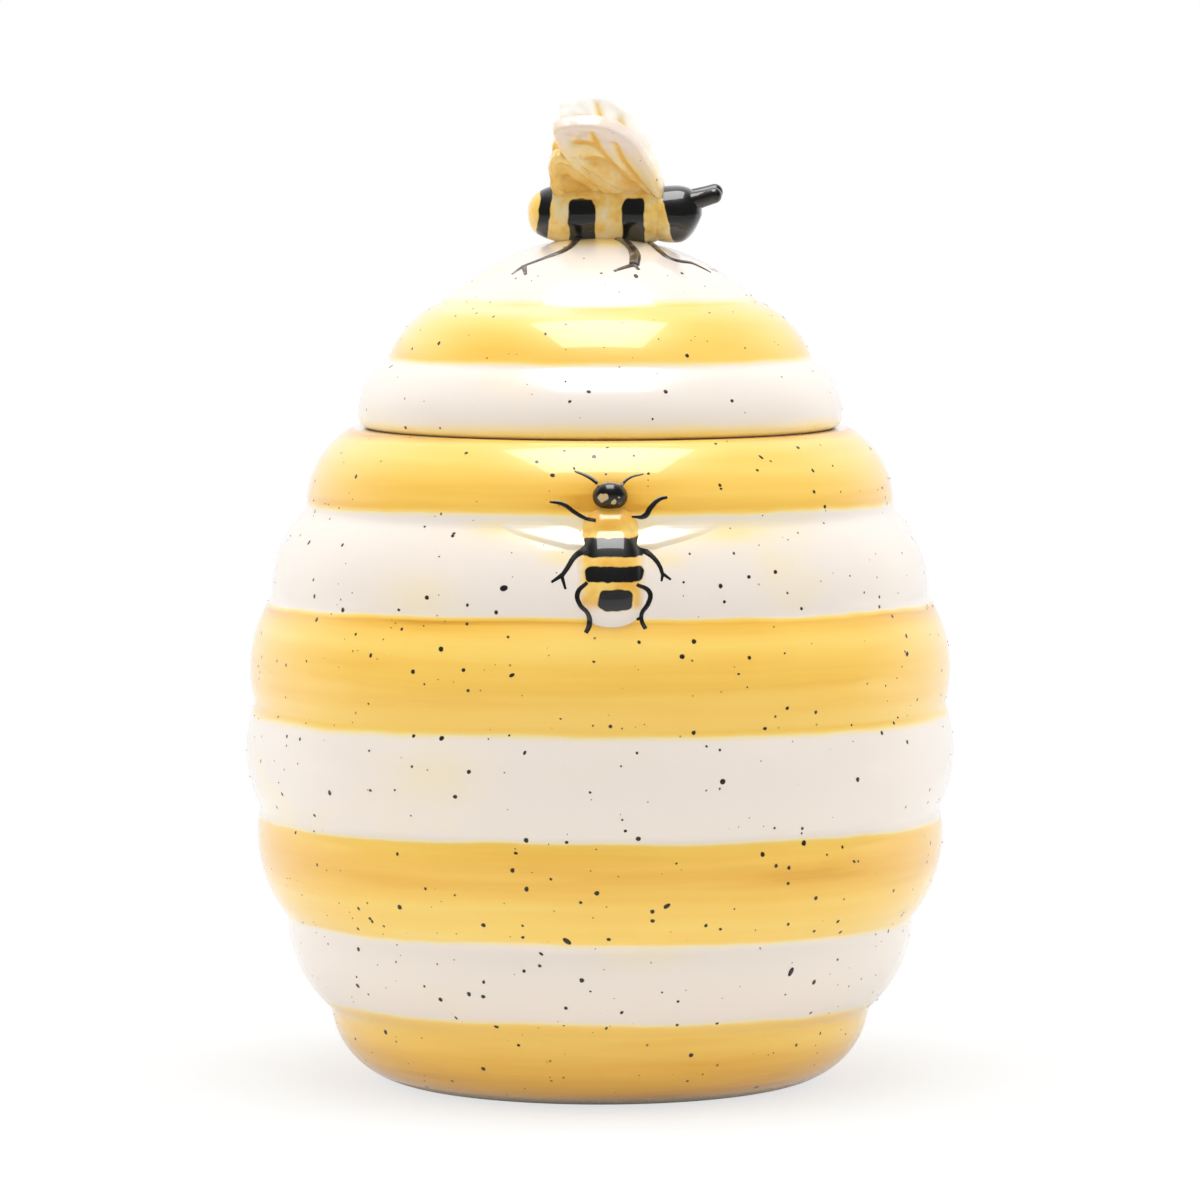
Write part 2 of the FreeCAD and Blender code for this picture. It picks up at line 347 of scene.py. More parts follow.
# bands of yellow underglaze between the given heights, on white clay, with specks over both
def bandedGlaze(name, paint):
    material, tree, shader, place = glazed(name)
    top = paint["top"]
    axes = axesOf(tree, place)
    side = calc(tree, "DIVIDE", axes["X"], bandLook["halfWidth"] * mm)
    height = calc(tree, "DIVIDE", axes["Z"], mm)
    height = calc(tree, "MULTIPLY_ADD", calc(tree, "MULTIPLY", side, side), paint["sag"], height)
    for label, detail in (("wave", 1), ("fray", 2)):
        uneven = stretched(tree, place, bandLook[label], detail)
        height = calc(tree, "ADD", swing(tree, uneven, paint[label]), height)
    share = calc(tree, "DIVIDE", height, top)
    stops = []
    for low, high, lowSoft, highSoft in paint["bands"]:
        stops += [(low - lowSoft, 0), (low + lowSoft, 1), (high - highSoft, 1), (high + highSoft, 0)]
    cover = ramp(tree, share, [(level / top, grey(value)) for level, value in stops if 0 < level < top], "EASE")
    # painted shade by height, together with the paint's own unevenness of depth
    tone = ramp(tree, share, [(level / top, grey(value)) for level, value in paint["tonesWithShade"]], "EASE")
    density = calc(tree, "MULTIPLY", calc(tree, "ADD", washOf(tree, place, paint), tone), cover)
    cloud = stretched(tree, place, bandLook["stain"], 2)
    stain = step(tree, cloud, bandLook["stainFrom"], bandLook["stainTo"])
    density = calc(tree, "MAXIMUM", density, calc(tree, "MULTIPLY", stain, paint["stain"]))
    front = step(tree, axes["Y"], bandLook["frontEdge"] * mm, -bandLook["frontEdge"] * mm)
    for x, z, wide, tall, amount in paint["pools"]:  # colour that ran together at the front
        sideways = calc(tree, "DIVIDE", calc(tree, "SUBTRACT", axes["X"], x * mm), wide * mm)
        rise = calc(tree, "DIVIDE", calc(tree, "SUBTRACT", height, z), tall)
        away = calc(tree, "MULTIPLY", squareSum(tree, rise, sideways), -1.0)
        pool = calc(tree, "MULTIPLY", calc(tree, "EXPONENT", away), amount)
        density = calc(tree, "MULTIPLY_ADD", pool, front, density)
    colour = speckled(tree, place, ramp(tree, density, paintStops), paint)
    tree.links.new(colour, shader.inputs["Base Color"])
    return material


# coil outlines: arcs that bulge from groove to groove, with the grooves rounded
def coilCircle(low, high, bulge):
    chord = high - low
    radius = (chord.length_squared / 4 + bulge ** 2) / (2 * bulge)
    outward = Vector((chord.y, -chord.x)).normalized()
    return (low + high) / 2 + outward * (bulge - radius), radius


def angleTo(centre, point):
    return math.atan2(point.y - centre.y, point.x - centre.x)


def arc(centre, radius, start, end, pitch=0.5):
    count = max(3, round(abs(end - start) * radius / pitch))
    angles = [start + (end - start) * index / count for index in range(count + 1)]
    return [centre + radius * Vector((math.cos(angle), math.sin(angle))) for angle in angles]


def hollowCentre(first, second, groove, size):
    (low, lowRadius), (high, highRadius) = first, second
    gap = high - low
    reach = lowRadius + size
    along = (reach ** 2 - (highRadius + size) ** 2 + gap.length_squared) / (2 * gap.length)
    across = Vector((gap.y, -gap.x)).normalized() * math.sqrt(reach ** 2 - along ** 2)
    middle = low + gap.normalized() * along
    return min((middle + across, middle - across), key=lambda point: (point - groove).length)


def edgeCentre(circle, level, size):  # centre of the round where a coil meets a flat face
    centre, radius = circle
    return Vector((centre.x + math.sqrt((radius - size) ** 2 - (level - centre.y) ** 2), level))


def coilProfile(circles, outline, hollow, start, end):
    points = []
    for first, second, groove in zip(circles, circles[1:], outline[1:]):
        centre = hollowCentre(first, second, groove, hollow)
        points += arc(*first, start, angleTo(first[0], centre))
        turns = [angleTo(centre, circle[0]) % math.tau for circle in (first, second)]
        points += arc(centre, hollow, *turns)[1:-1]
        start = angleTo(second[0], centre)
    return points + arc(*circles[-1], start, end)


def upright(points):
    return [Vector((point.x, 0, point.y)) for point in points]


# pot wall
potShape = {
    "coilHeights": [10.4, 13.0, 15.6, 14.6, 15.1, 12.3, 11.4],
    "coilBulges": [2.9, 1.6, 1.8, 1.6, 1.7, 1.45, 1.9],
    "bellyRadius": 48.9, "bellyHeight": 50.4, "reachDown": 64.0, "reachUp": 57.5,
    "grooveRound": 2.0, "wall": 4.5,
    "footRadius": 27.0, "footRing": 4.5, "footEdge": 2.0, "footRecess": 1.4, "recessRun": 1.0,
    "floorHeight": 5.6, "floorCorner": 8.0, "floorTurn": 2.0, "floorEase": 0.6,
    "rimRadius": 35.0, "rimRound": 1.2,
    "mouthRadius": 29.0, "mouthDepth": 5.0, "mouthRound": 0.9, "shoulderBulge": 1.5,
    "steps": 192, "skin": 1.5, "sharp": 50,
}
potPaint = {
    "top": 100.0, "sag": 1.0, "wave": 1.3, "fray": 0.7,
    "bands": [(-5.0, 12.7, 0.5, 0.6), (24.3, 38.5, 0.5, 0.45), (53.3, 68.8, 0.8, 0.4), (82.8, 99.0, 0.6, 0.5)],
    # tonesWithShade: depth of paint by height, partly the brushwork's own and partly painted shade: darker
    # towards the foot and on parts of each coil, deepest at the rim under the lid's edge
    "tonesWithShade": [(0.0, 1.0), (5.0, 0.86), (11.0, 0.66), (24.5, 0.56), (29.0, 0.62), (33.5, 0.85), (38.0, 0.7),
              (53.3, 0.76), (54.6, 0.63), (57.5, 0.73), (61.0, 0.73), (65.5, 0.56), (68.5, 0.92),
              (82.5, 0.86), (85.0, 0.76), (90.0, 0.56), (91.9, 0.56), (92.4, 1.0)],
    "pools": [(-0.4, 84.8, 6.5, 3.0, 0.26), (0.0, 80.0, 13.0, 2.4, 0.2), (-26.0, 71.5, 5.0, 3.5, 0.1),
              (-24.0, 47.5, 6.0, 4.0, 0.1), (-15.5, 80.6, 3.5, 1.1, 0.16), (16.5, 80.2, 4.5, 1.2, 0.2),
              (-7.0, 77.0, 2.6, 1.0, 0.16), (7.5, 76.8, 2.4, 1.0, 0.16)],
    "streaks": 0.38, "patches": 0.2, "stain": 0.12, "cell": 1.9, "speck": 0.42,
}


def bellyAt(height):
    reach = potShape["reachDown"] if height < potShape["bellyHeight"] else potShape["reachUp"]
    return potShape["bellyRadius"] * math.sqrt(1 - ((height - potShape["bellyHeight"]) / reach) ** 2)


potTop = sum(potShape["coilHeights"])
potOutline = [Vector((potShape["footRadius"], 0))]
for count in range(1, len(potShape["coilHeights"])):
    level = sum(potShape["coilHeights"][:count])
    potOutline.append(Vector((bellyAt(level), level)))
potOutline.append(Vector((potShape["rimRadius"], potTop)))
potCircles = [coilCircle(*ends) for ends in zip(potOutline, potOutline[1:], potShape["coilBulges"])]


def potOutside():
    rim = edgeCentre(potCircles[-1], potTop - potShape["rimRound"], potShape["rimRound"])
    end = angleTo(potCircles[-1][0], rim)
    start = angleTo(potCircles[0][0], potOutline[0])
    points = coilProfile(potCircles, potOutline, potShape["grooveRound"], start, end)
    return points + arc(rim, potShape["rimRound"], end, math.pi / 2)[1:]


def potInside(outside):  # from the mouth down to the middle of the floor
    mouth, bend = potShape["mouthRadius"], potShape["mouthRound"]
    throat = Vector((mouth, potTop - potShape["mouthDepth"]))
    shoulder = potOutline[-2] - Vector((potShape["wall"], 0))
    points = arc(Vector((mouth + bend, potTop - bend)), bend, math.pi / 2, math.pi)
    centre, radius = coilCircle(shoulder, throat, potShape["shoulderBulge"])
    points += arc(centre, radius, angleTo(centre, throat), angleTo(centre, shoulder))
    corner = potShape["floorHeight"] + potShape["floorCorner"]
    inner = [point - Vector((potShape["wall"], 0))
             for point in reversed(outside) if corner < point.y < shoulder.y]
    floor = Vector((inner[-1].x - potShape["floorCorner"], potShape["floorHeight"]))
    turn = Vector((inner[-1].x - potShape["floorTurn"], floor.y))
    ease = inner[-1].lerp(turn, potShape["floorEase"])
    knots = [Vector((point.x, point.y, 0)) for point in (inner[-1], ease, turn, floor)]
    corner = [point.xy for point in interpolate_bezier(*knots, 14)]
    return points + inner + corner[1:] + [Vector((floor.x / 2, floor.y)), Vector((0, floor.y))]


potOuter = potOutside()


def radiusOn(profile, height):  # outside radius of a spun wall at a height
    for low, high in zip(profile, profile[1:]):
        if low.y <= height <= high.y and high.y > low.y:
            return low.x + (high.x - low.x) * (height - low.y) / (high.y - low.y)
    return profile[0].x if height < profile[0].y else profile[-1].x


insideLook = {"patches": 0.4, "streaks": 0.2, "deep": 0.82, "tone": 0.35, "cell": 3.2, "speck": 0.4}


def plainGlaze(name, colour, look):
    material, tree, shader, place = glazed(name)
    deep = tuple(channel * look["deep"] for channel in colour[:3]) + (1.0,)
    tinted = mixColour(tree, calc(tree, "ADD", washOf(tree, place, look), look["tone"]), colour, deep)
    tree.links.new(speckled(tree, place, tinted, look), shader.inputs["Base Color"])
    return material


clayLook = {"grain": 2200, "bump": 0.4, "height": 0.1, "roughness": 0.85}


def bareClay():
    material, tree, shader = newMaterial("bareClay")
    grain = noise(tree, objectPlace(tree), clayLook["grain"], 4, 0.7)
    colour = ramp(tree, grain, [(0.3, srgb(214, 200, 182)), (0.7, srgb(236, 226, 210))])
    inputs = {"Height": grain, "Strength": clayLook["bump"], "Distance": clayLook["height"] * mm}
    tree.links.new(colour, shader.inputs["Base Color"])
    tree.links.new(put(tree, "Bump", {}, inputs).outputs[0], shader.inputs["Normal"])
    shader.inputs["Roughness"].default_value = clayLook["roughness"]
    return material


insideGlaze = plainGlaze("insideGlaze", clayWhite, insideLook)
footClay = bareClay()


def makePotWall():
    ring = potShape["footRadius"] - potShape["footRing"]
    recess = potShape["footRecess"]
    under = [Vector((0, recess)), Vector((ring / 2, recess)), Vector((ring - potShape["recessRun"], recess)),
             Vector((ring, 0)), Vector((potShape["footRadius"] - potShape["footEdge"], 0))]
    piece = spun("potWall", upright(under + potOuter + potInside(potOuter)), (0, 0, 1), potShape["steps"])
    finishPiece(piece, bandedGlaze("potGlaze", potPaint), "pot", "banded_glaze", "pot_body")
    piece.data.materials.append(insideGlaze)
    piece.data.materials.append(footClay)
    for face in piece.data.polygons:
        middle = face.center / mm
        out = math.hypot(middle.x, middle.y)
        if middle.z > 2 and out < radiusOn(potOuter, middle.z) - potShape["skin"]:
            face.material_index = 1
        elif middle.z < recess + 0.1 and face.normal.z < -0.5:
            face.material_index = 2
    pick(piece)
    bpy.ops.object.shade_smooth_by_angle(angle=math.radians(potShape["sharp"]))
    return piece


potWall = makePotWall()
print("pot wall:", len(potWall.data.polygons), "faces")


# lid dome
lidShape = {
    "coilHeights": [9.5, 8.2, 9.0], "coilBulges": [1.7, 1.25, 1.8], "grooveInsets": [4.0, 11.6],
    "radius": 33.9, "edgeRound": 1.4, "seatRadius": 3.0, "wall": 4.6, "domeRise": 5.0,
    "flangeRadius": 28.2, "flangeWall": 3.6, "flangeDepth": 6.0, "flangeRound": 1.2,
    "crownFlat": 1.5, "steps": 160,
}
lidPaint = {
    "top": 125.0, "sag": 0.5, "wave": 0.9, "fray": 0.8,
    # the lowest band and first tones make the lid's rounded edge deep orange at the seam, partly glaze pooled
    # there and partly painted shade in the crevice
    "bands": [(90.0, 94.0, 0.5, 1.3), (102.6, 110.7, 0.6, 0.6)],
    "tonesWithShade": [(92.2, 0.95), (92.8, 0.55), (95.0, 0.3), (102.0, 0.72), (105.0, 0.58), (110.0, 0.46)],
    "pools": [(0.5, 118.9, 8.0, 0.6, 0.4)],
    "streaks": 0.4, "patches": 0.6, "stain": 0.1, "cell": 2.5, "speck": 0.36,
}
lidTop = potTop + sum(lidShape["coilHeights"])
lidOutline = [Vector((lidShape["radius"], potTop))]
for count, inset in enumerate(lidShape["grooveInsets"], 1):
    lidOutline.append(Vector((lidShape["radius"] - inset, potTop + sum(lidShape["coilHeights"][:count]))))
lidOutline.append(Vector((lidShape["seatRadius"], lidTop)))
lidCircles = [coilCircle(*ends) for ends in zip(lidOutline, lidOutline[1:], lidShape["coilBulges"])]


def lidOutside():
    bend = lidShape["edgeRound"]
    edge = edgeCentre(lidCircles[0], potTop + bend, bend)
    start = angleTo(lidCircles[0][0], edge)
    points = arc(edge, bend, -math.pi / 2, start)[:-1]
    end = angleTo(lidCircles[-1][0], lidOutline[-1])
    points += coilProfile(lidCircles, lidOutline, potShape["grooveRound"], start, end)
    return points + [Vector((lidShape["crownFlat"], lidTop)), Vector((0, lidTop))]


def lidInside():  # from the top of the hollow down, round the flange
    inner = lidShape["flangeRadius"] - lidShape["flangeWall"]
    low = potTop - lidShape["flangeDepth"]
    spring, crown = potTop + lidShape["domeRise"], lidTop - lidShape["wall"]
    round4 = 0.5523  # handle of a quarter of an ellipse
    knots = [Vector(knot) for knot in ((0, crown, 0), (round4 * inner, crown, 0),
                                       (inner, spring + round4 * (crown - spring), 0), (inner, spring, 0))]
    points = [point.xy for point in interpolate_bezier(*knots, 30)]
    bend = lidShape["flangeRound"]
    points += arc(Vector((inner + bend / 2, low + bend / 2)), bend / 2, math.pi, 1.5 * math.pi)
    points += arc(Vector((lidShape["flangeRadius"] - bend, low + bend)), bend, -math.pi / 2, 0)
    return points + [Vector((lidShape["flangeRadius"], potTop))]


lidOuter = lidOutside()


def lidHeight(out):  # height of the lid's outside at a distance from the axis
    for low, high in zip(lidOuter, lidOuter[1:]):
        if high.x <= out <= low.x and low.x > high.x:
            return high.y + (low.y - high.y) * (out - high.x) / (low.x - high.x)
    return lidTop


def makeLidDome():
    piece = spun("lidDome", upright(lidInside() + lidOuter), (0, 0, 1), lidShape["steps"])
    finishPiece(piece, bandedGlaze("lidGlaze", lidPaint), "lid", "banded_glaze", "lid_shell")
    piece.data.materials.append(insideGlaze)
    for face in piece.data.polygons:
        middle = face.center / mm
        out = math.hypot(middle.x, middle.y)
        hollow = out < lidShape["flangeRadius"] and middle.z < lidHeight(out) - potShape["skin"]
        if hollow or middle.z < potTop - 0.01:
            face.material_index = 1
    pick(piece)
    bpy.ops.object.shade_smooth_by_angle(angle=math.radians(potShape["sharp"]))
    return piece


lidDome = makeLidDome()
print("lid dome:", len(lidDome.data.polygons), "faces")


# knob bee: body and head are spun about their own length, then rolled, turned and set on the lid
beePose = {"offset": 2.1, "sink": 1.1, "roll": 11.0, "yaw": -5.0, "radius": 4.45}
beeCentre = Vector((beePose["offset"], 0, lidTop + beePose["radius"] - beePose["sink"])) * mm
beeTurn = Euler((math.radians(beePose["roll"]), 0, math.radians(beePose["yaw"])))
beePlace = Matrix.Translation(beeCentre) @ beeTurn.to_matrix().to_4x4()


def spindle(back, front, radius, fullness, count=22):
    def end(length):
        knots = ((length, 0, 0), (length, 0, fullness * radius), (fullness * length, 0, radius), (0, 0, radius))
        return interpolate_bezier(*[Vector(knot) for knot in knots], count)
    return end(-back) + end(front)[::-1][1:]


def lumpy(piece, size, depth):  # soft unevenness of a hand pressed form
    texture = bpy.data.textures.new(piece.name + "Lumps", "CLOUDS")
    texture.noise_scale = size * mm
    texture.noise_depth = 1
    modifier = piece.modifiers.new("lumps", "DISPLACE")
    modifier.texture = texture
    modifier.texture_coords = "LOCAL"
    modifier.strength = depth * mm
    modifier.mid_level = 0.5
    applyModifiers(piece)


def beeLocal(tree, place):  # millimetres from the bee's middle, along its own axes
    return put(tree, "Mapping", {"vector_type": "TEXTURE"},
               {"Vector": place, "Location": beeCentre, "Rotation": beeTurn, "Scale": (mm, mm, mm)}).outputs[0]


beePaint = {
    "yellow": srgb(247, 208, 112), "deep": srgb(230, 174, 70), "pale": srgb(244, 226, 182),
    "black": srgb(14, 13, 12), "tip": srgb(250, 206, 104),
    "patches": [(-4.45, -1.3, 1.9, 4.1), (2.8, -1.2, 1.55, 4.2)], "tailRing": (-9.9, 0.85), "tailSlant": 0.12,
    "corner": 0.8, "headLine": 7.55, "headSlant": -0.24, "blotch": 0.42,
    "paleEdge": (-1.2, -4.2), "paleShare": 0.6, "tipEdge": (-9.6, -10.8), "cell": 2.2, "speck": 0.35,
}


def beeGlaze():
    material, tree, shader, place = glazed("beeGlaze", 0.6, 1.7)
    local = beeLocal(tree, place)
    along, up = wavedAxes(tree, local, 0.55, 0.7)
    blotch = noise(tree, local, beePaint["blotch"], 3, 0.6)
    colour = ramp(tree, blotch, [(0.28, beePaint["pale"]), (0.5, beePaint["yellow"]), (0.72, beePaint["deep"])])
    low = calc(tree, "MULTIPLY", step(tree, up, *beePaint["paleEdge"]), beePaint["paleShare"])
    colour = mixColour(tree, low, colour, beePaint["pale"])
    colour = mixColour(tree, step(tree, along, *beePaint["tipEdge"]), colour, beePaint["tip"])
    middle, half = beePaint["tailRing"]
    ring = calc(tree, "SUBTRACT", calc(tree, "MULTIPLY_ADD", up, -beePaint["tailSlant"], along), middle)
    black = step(tree, calc(tree, "ABSOLUTE", ring), half + softEdge, half - softEdge)
    for patch in beePaint["patches"]:
        black = calc(tree, "MAXIMUM", black, paintPatch(tree, along, up, patch, beePaint["corner"]))
    neck = calc(tree, "MULTIPLY_ADD", up, -beePaint["headSlant"], along)
    line = beePaint["headLine"]
    black = calc(tree, "MAXIMUM", black, step(tree, neck, line - softEdge, line + softEdge))
    colour = speckled(tree, place, colour, beePaint)
    tree.links.new(mixColour(tree, black, colour, beePaint["black"]), shader.inputs["Base Color"])
    return material


beeSkin = beeGlaze()
blackSkin = mottled("blackGlaze", 0.5, 1.7, 400, [(0.35, srgb(12, 11, 10)), (0.75, srgb(32, 28, 25))])

bodyShape = {
    "tail": 11.8, "chest": 9.0, "fullness": 0.78, "middle": -0.5, "steps": 72,
    "flare": 0.9, "flareTop": 1.7, "flareBottom": -1.5, "lumps": (5, 0.35),
}
headShape = {
    "back": 6.4, "front": 3.6, "radius": 4.05, "fullness": 0.62, "forward": 8.7, "chin": 0.3, "steps": 56,
    "lumps": (4, 0.25),
}


def flareOnLid(piece):  # the glaze pools where the form meets the lid
    top = bodyShape["flareTop"]
    for vertex in piece.data.vertices:
        point = vertex.co / mm
        gap = point.z - lidHeight(math.hypot(point.x, point.y))
        if bodyShape["flareBottom"] < gap < top:
            side = Vector((0, vertex.co.y - beeCentre.y, 0)).normalized()
            vertex.co += side * bodyShape["flare"] * mm * (1 - max(gap, 0) / top) ** 2


def makeKnobBody():
    points = spindle(bodyShape["tail"], bodyShape["chest"], beePose["radius"], bodyShape["fullness"])
    points = [point + Vector((bodyShape["middle"], 0, 0)) for point in points]
    piece = spun("knobBeeBody", points, (1, 0, 0), bodyShape["steps"])
    piece.data.transform(beePlace)
    lumpy(piece, *bodyShape["lumps"])
    flareOnLid(piece)
    finishPiece(piece, beeSkin, "lid", "bee_yellow_glaze", "knob_bee_body")


def makeKnobHead():
    points = spindle(headShape["back"], headShape["front"], headShape["radius"], headShape["fullness"])
    piece = spun("knobBeeHead", points, (1, 0, 0), headShape["steps"])
    for vertex in piece.data.vertices:  # the face slopes back towards the chin
        if vertex.co.x > 0 and vertex.co.z < 0:
            vertex.co.x *= 1 + headShape["chin"] * vertex.co.z / (headShape["radius"] * mm)
    piece.data.transform(Matrix.Translation((headShape["forward"] * mm, 0, 0)))
    piece.data.transform(beePlace)
    lumpy(piece, *headShape["lumps"])
    finishPiece(piece, beeSkin, "lid", "bee_black_glaze", "knob_bee_head")


antennaShape = {
    "root": (10.0, 0.95, 1.7), "tip": (14.0, 1.15, 2.9), "rootRadius": 1.6, "tipRadius": 1.15, "buried": 1.2,
    "waist": 0.12, "steps": 32, "lumps": (2.5, 0.15),
}


def makeAntenna(name, side, node):
    root = Vector(antennaShape["root"])
    reach = Vector(antennaShape["tip"]) - root
    length, start, end = reach.length, antennaShape["rootRadius"], antennaShape["tipRadius"]
    points = [Vector((-antennaShape["buried"], 0, 0)), Vector((-antennaShape["buried"], 0, start))]
    for share in (0, 0.2, 0.4, 0.6, 0.8):
        radius = start + (end - start) * share - antennaShape["waist"] * math.sin(math.pi * share)
        points.append(Vector((length * share, 0, radius)))
    points += [Vector((length + end * math.sin(angle), 0, end * math.cos(angle)))
               for angle in [math.pi / 2 * share / 8 for share in range(9)]]
    piece = spun(name, points, (1, 0, 0), antennaShape["steps"])
    root.y, reach.y = root.y * side, reach.y * side
    turn = Vector((1, 0, 0)).rotation_difference(reach).to_matrix().to_4x4()
    piece.data.transform(beePlace @ Matrix.Translation(root * mm) @ turn)
    lumpy(piece, *antennaShape["lumps"])
    finishPiece(piece, blackSkin, "lid", "bee_black_glaze", node)


bothSides = (("left", 1), ("right", -1))
makeKnobBody()
makeKnobHead()
for sideName, side in bothSides:
    makeAntenna(sideName + "Antenna", side, "knob_bee_" + sideName + "_antenna")
print("knob bee: body, head and antennae")


# wings: a grid filled in the outline, thickened, with veins pressed in
def smoothLoop(points, count):
    total = len(points)
    loop = []
    for index in range(count):
        place = index * total / count
        knot = int(place)
        share = place - knot
        before, first, second, after = (points[(knot + shift) % total] for shift in (-1, 0, 1, 2))
        loop.append(0.5 * ((2 * first) + (second - before) * share
                           + (2 * before - 5 * first + 4 * second - after) * share ** 2
                           + (3 * first - before - 3 * second + after) * share ** 3))
    return loop


def toRoute(point, route):  # distance from a point to a broken line
    nearest = 1e9
    for start, end in zip(route, route[1:]):
        run = end - start
        share = max(0, min(1, (point - start).dot(run) / run.length_squared))
        nearest = min(nearest, (point - start - run * share).length)
    return nearest


def bladeGrid(name, outline, rimPoints, cuts):
    startFresh()
    bpy.ops.mesh.primitive_circle_add(vertices=rimPoints, radius=mm)
    piece = namePiece(name)
    for vertex, point in zip(piece.data.vertices, smoothLoop(outline, rimPoints)):
        vertex.co = Vector((point.x, 0, point.y)) * mm
    bpy.ops.object.mode_set(mode="EDIT")
    bpy.ops.mesh.select_all(action="SELECT")
    bpy.ops.mesh.fill_grid(span=rimPoints // 4)
    bpy.ops.mesh.select_all(action="SELECT")
    bpy.ops.mesh.subdivide(number_cuts=cuts)
    bpy.ops.object.mode_set(mode="OBJECT")
    return piece


def flatPoints(piece):
    return [Vector((vertex.co.x, vertex.co.z)) / mm for vertex in piece.data.vertices]


def weigh(piece, label, weights):  # a vertex group for shaping and an attribute for colour
    group = piece.vertex_groups.new(name=label)
    for index, weight in enumerate(weights):
        group.add([index], weight, "REPLACE")
    tone = piece.data.attributes.new(label + "Tone", "FLOAT", "POINT")
    tone.data.foreach_set("value", weights)


wingShape = {
    "lean": 29.0, "rootSide": 1.4, "rootHeight": 3.2, "rimPoints": 64, "cuts": 2,
    "veinWidth": 0.55, "veinDepth": 0.42, "rimWidth": 1.3, "rimInset": 0.7, "rimRise": 0.3,
    "edgePoints": 60, "rootSlant": 0.45, "cupReach": 4,
}
forewing = {
    "outline": [(6.8, -1.0), (5.4, 4.5), (2.6, 10.5), (-1.8, 13.3), (-7.0, 13.0), (-7.8, 10.9),
                (-5.5, 5.8), (-1.0, 1.5), (3.5, -1.8)],
    "thickness": 1.8, "cup": 0.5, "lumps": (2.2, 0.35), "washTop": 9.5,
    "veins": [[(5.2, -0.6), (3.2, 1.6), (1.7, 3.0), (-0.3, 5.9), (-1.9, 8.8), (-2.7, 12.0)],
              [(5.4, 0.4), (3.1, 3.8), (1.6, 6.5), (0.6, 9.8)],
              [(5.0, -0.4), (2.6, 0.4), (0.9, 1.0), (-1.2, 2.2), (-3.0, 4.0), (-5.6, 7.0)],
              [(-1.9, 8.8), (-3.4, 9.6), (-5.2, 9.9)],
              [(-0.3, 5.9), (-2.2, 6.7), (-4.2, 6.9)]],
}
hindwing = {
    "outline": [(1.5, -1.8), (-1.5, 2.3), (-5.0, 6.2), (-7.8, 7.5), (-8.9, 4.5), (-8.2, 0.6), (-5.0, -1.8)],
    "thickness": 1.4, "cup": 0.3, "lumps": (2.2, 0.7), "washTop": 9.0,
    "veins": [[(0.5, -1.2), (-2.2, 1.4), (-4.6, 4.2), (-7.2, 6.4)],
              [(-1.0, -1.5), (-4.2, 1.4), (-7.8, 4.2)],
              [(-3.0, -1.5), (-6.0, 0.2), (-8.0, 1.6)]],
}
wingLook = {"blotch": 320, "washUneven": 1.1, "veinUneven": 1.2, "veinDepth": 1.05, "rimPaintedHighlight": 0.5,
            "cell": 2.0, "speck": 0.3}


def wingGlaze(name, cream, middle, ochre, washed):
    material, tree, shader, place = glazed(name, 0.5)
    vein, root, rim = (weightOf(tree, label) for label in ("vein", "root", "rim"))
    blotch = calc(tree, "SUBTRACT", noise(tree, place, wingLook["blotch"], 3, 0.6), 0.5)
    wash = calc(tree, "MULTIPLY", calc(tree, "MULTIPLY_ADD", blotch, wingLook["washUneven"], root), washed)
    stroke = calc(tree, "MULTIPLY_ADD", blotch, wingLook["veinUneven"], wingLook["veinDepth"])
    share = calc(tree, "MAXIMUM", calc(tree, "MULTIPLY", vein, stroke), wash)
    # painted highlight: the wash is made lighter along the raised rim
    share = calc(tree, "MULTIPLY", share, calc(tree, "MULTIPLY_ADD", rim, -wingLook["rimPaintedHighlight"], 1.0))
    colour = ramp(tree, share, [(0.0, cream), (0.4, middle), (0.9, ochre)])
    tree.links.new(speckled(tree, place, colour, wingLook), shader.inputs["Base Color"])
    return material


wingColours = {  # cream, middle, ochre and how much is washed over; the two forewings are one glaze, given lit and shaded copies
    # painted shade: the near forewing's outer face, darker cream and more ochre wash than the glaze itself
    "rightForewing": (srgb(236, 219, 206), srgb(247, 220, 156), srgb(238, 184, 82), 1.35),
    # painted light: the far forewing's upper face, whiter and less washed than the glaze itself
    "leftForewing": (srgb(255, 254, 250), srgb(254, 244, 212), srgb(250, 214, 124), 0.6),
    "hindwing": (srgb(250, 226, 160), srgb(246, 206, 118), srgb(234, 180, 80), 1.0),
}
wingSkins = {name: wingGlaze(name + "Glaze", *colours) for name, colours in wingColours.items()}


